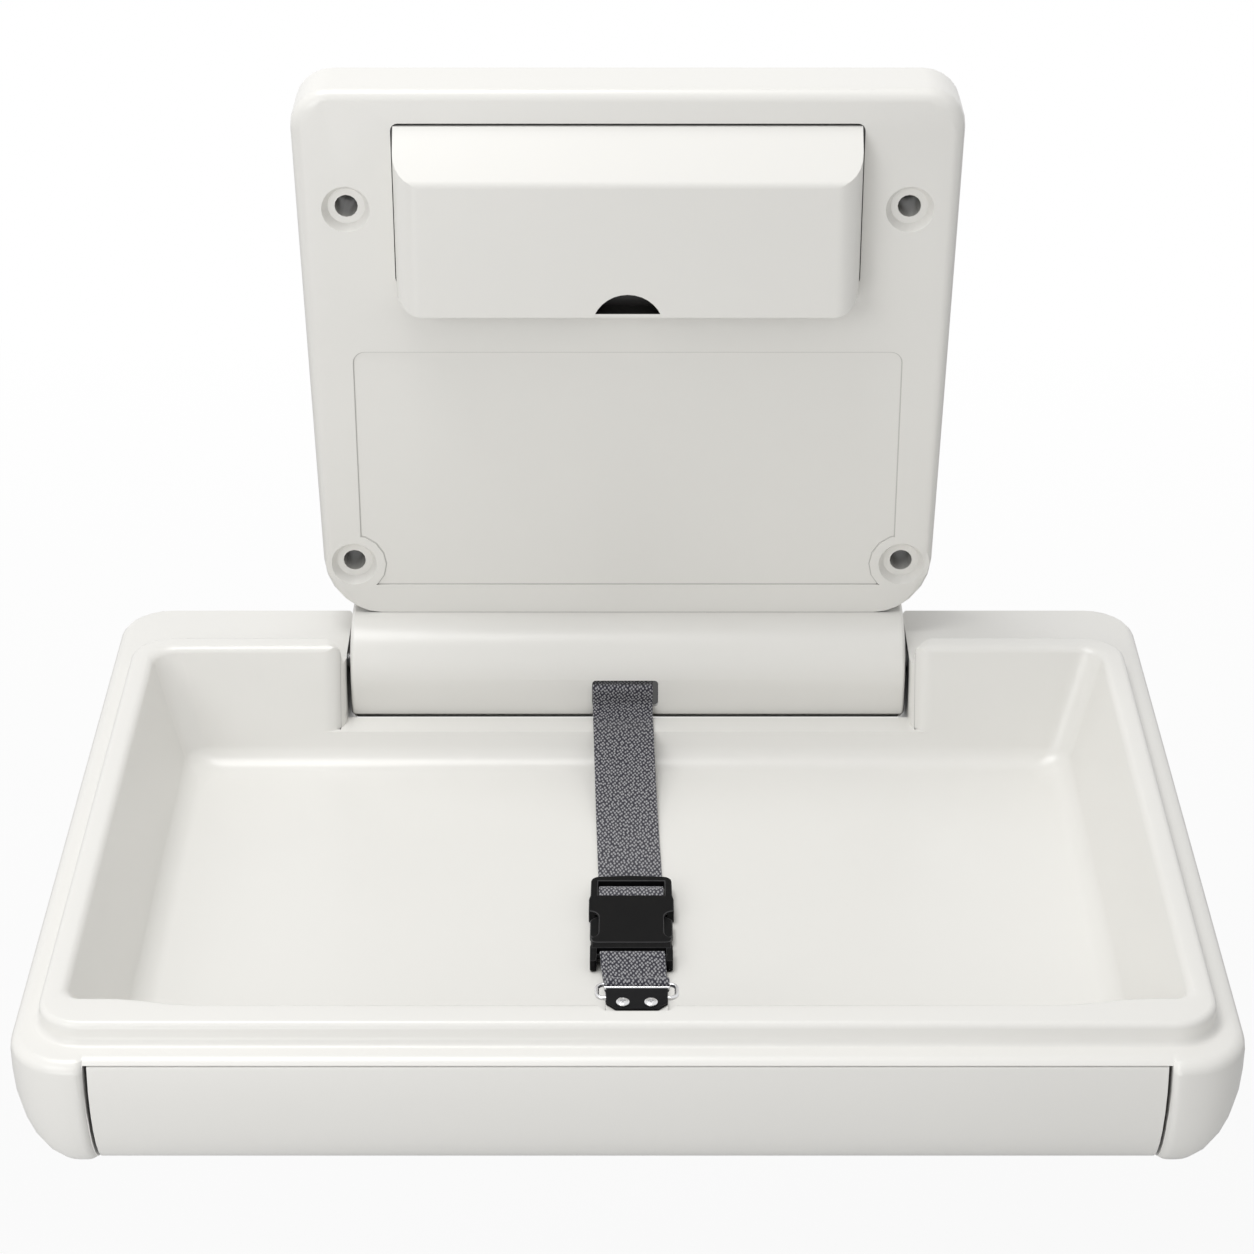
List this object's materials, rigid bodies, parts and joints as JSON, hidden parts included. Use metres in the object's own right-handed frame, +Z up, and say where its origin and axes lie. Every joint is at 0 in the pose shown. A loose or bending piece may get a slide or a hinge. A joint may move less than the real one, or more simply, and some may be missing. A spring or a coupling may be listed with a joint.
{
  "type": "baby changing station",
  "caption": "Wall-mounted fold-down changing station: a moulded tray bed with a buckled safety strap hinges on a barrel below a wall panel with a tilting liner dispenser.",
  "frame": {"origin": "middle of the four wall fixings, on the wall face of the steel chassis", "axes": "+Y into the wall, +Z up, +X to the right for a person facing the wall; bed down"},
  "size_m": [0.872, 0.67, 0.599],
  "materials": {
    "white_plastic": "warm off-white moulded polyethylene, satin",
    "black_plastic": "black moulded acetal",
    "webbing": "grey woven polyester webbing",
    "rubber": "black rubber",
    "black_steel": "black coated pressed steel",
    "bright_steel": "bright plated steel",
    "zinc_steel": "zinc-plated sheet steel",
    "bronze": "sintered bronze"
  },
  "bodies": {
    "wall_unit": {"wall_panel": "white_plastic", "mounting_chassis": "zinc_steel", "hinge_cover": "white_plastic", "hinge_bush_left": "bronze", "hinge_bush_right": "bronze", "hinge_damper_left": "black_plastic", "hinge_damper_right": "black_plastic", "strap_anchor_bar": "bright_steel", "anchor_webbing": "webbing", "liner_bin": "white_plastic"},
    "cover": {"dispenser_cover": "white_plastic", "cover_pivot_left": "bright_steel", "cover_pivot_right": "bright_steel"},
    "bed": {"bed_tray": "white_plastic", "bed_lower_shell": "white_plastic", "shell_screw_1": "zinc_steel", "shell_screw_2": "zinc_steel", "shell_screw_3": "zinc_steel", "shell_screw_4": "zinc_steel", "shell_screw_5": "zinc_steel", "shell_screw_6": "zinc_steel", "hinge_arm_left": "zinc_steel", "hinge_arm_right": "zinc_steel", "hinge_shaft_left": "bright_steel", "hinge_shaft_right": "bright_steel", "bed_buffer_left": "rubber", "bed_buffer_right": "rubber", "strap_bracket": "black_steel", "strap_screw_left": "bright_steel", "strap_screw_right": "bright_steel", "upper_strap": "webbing", "buckle_socket": "black_plastic", "buckle_plug": "black_plastic", "lower_strap": "webbing"},
    "ring": {"strap_ring": "bright_steel"},
    "release_left": {"buckle_release_left": "black_plastic"},
    "release_right": {"buckle_release_right": "black_plastic"}
  },
  "joints": [
    {"name": "bed_fold", "type": "hinge", "parent": "wall_unit", "child": "bed", "pos_m": [0, -0.055, -0.255], "axis": [-1, 0, 0], "range_deg": [0, 90]},
    {"name": "cover_tilt", "type": "hinge", "parent": "wall_unit", "child": "cover", "pos_m": [0, -0.064, 0.0907], "axis": [-1, 0, 0], "range_deg": [-40, 0]},
    {"name": "ring_swing", "type": "hinge", "parent": "bed", "child": "ring", "pos_m": [0.0065, -0.5978, -0.2228], "axis": [1, 0, 0], "range_deg": [-5, 5]},
    {"name": "release_left_press", "type": "hinge", "parent": "bed", "child": "release_left", "pos_m": [-0.0187, -0.4215, -0.2988], "axis": [0, 0, -1], "range_deg": [0, 6], "stiffness_Nm_per_rad": 2},
    {"name": "release_right_press", "type": "hinge", "parent": "bed", "child": "release_right", "pos_m": [0.0243, -0.4215, -0.2988], "axis": [0, 0, 1], "range_deg": [0, 6], "stiffness_Nm_per_rad": 2}
  ]
}
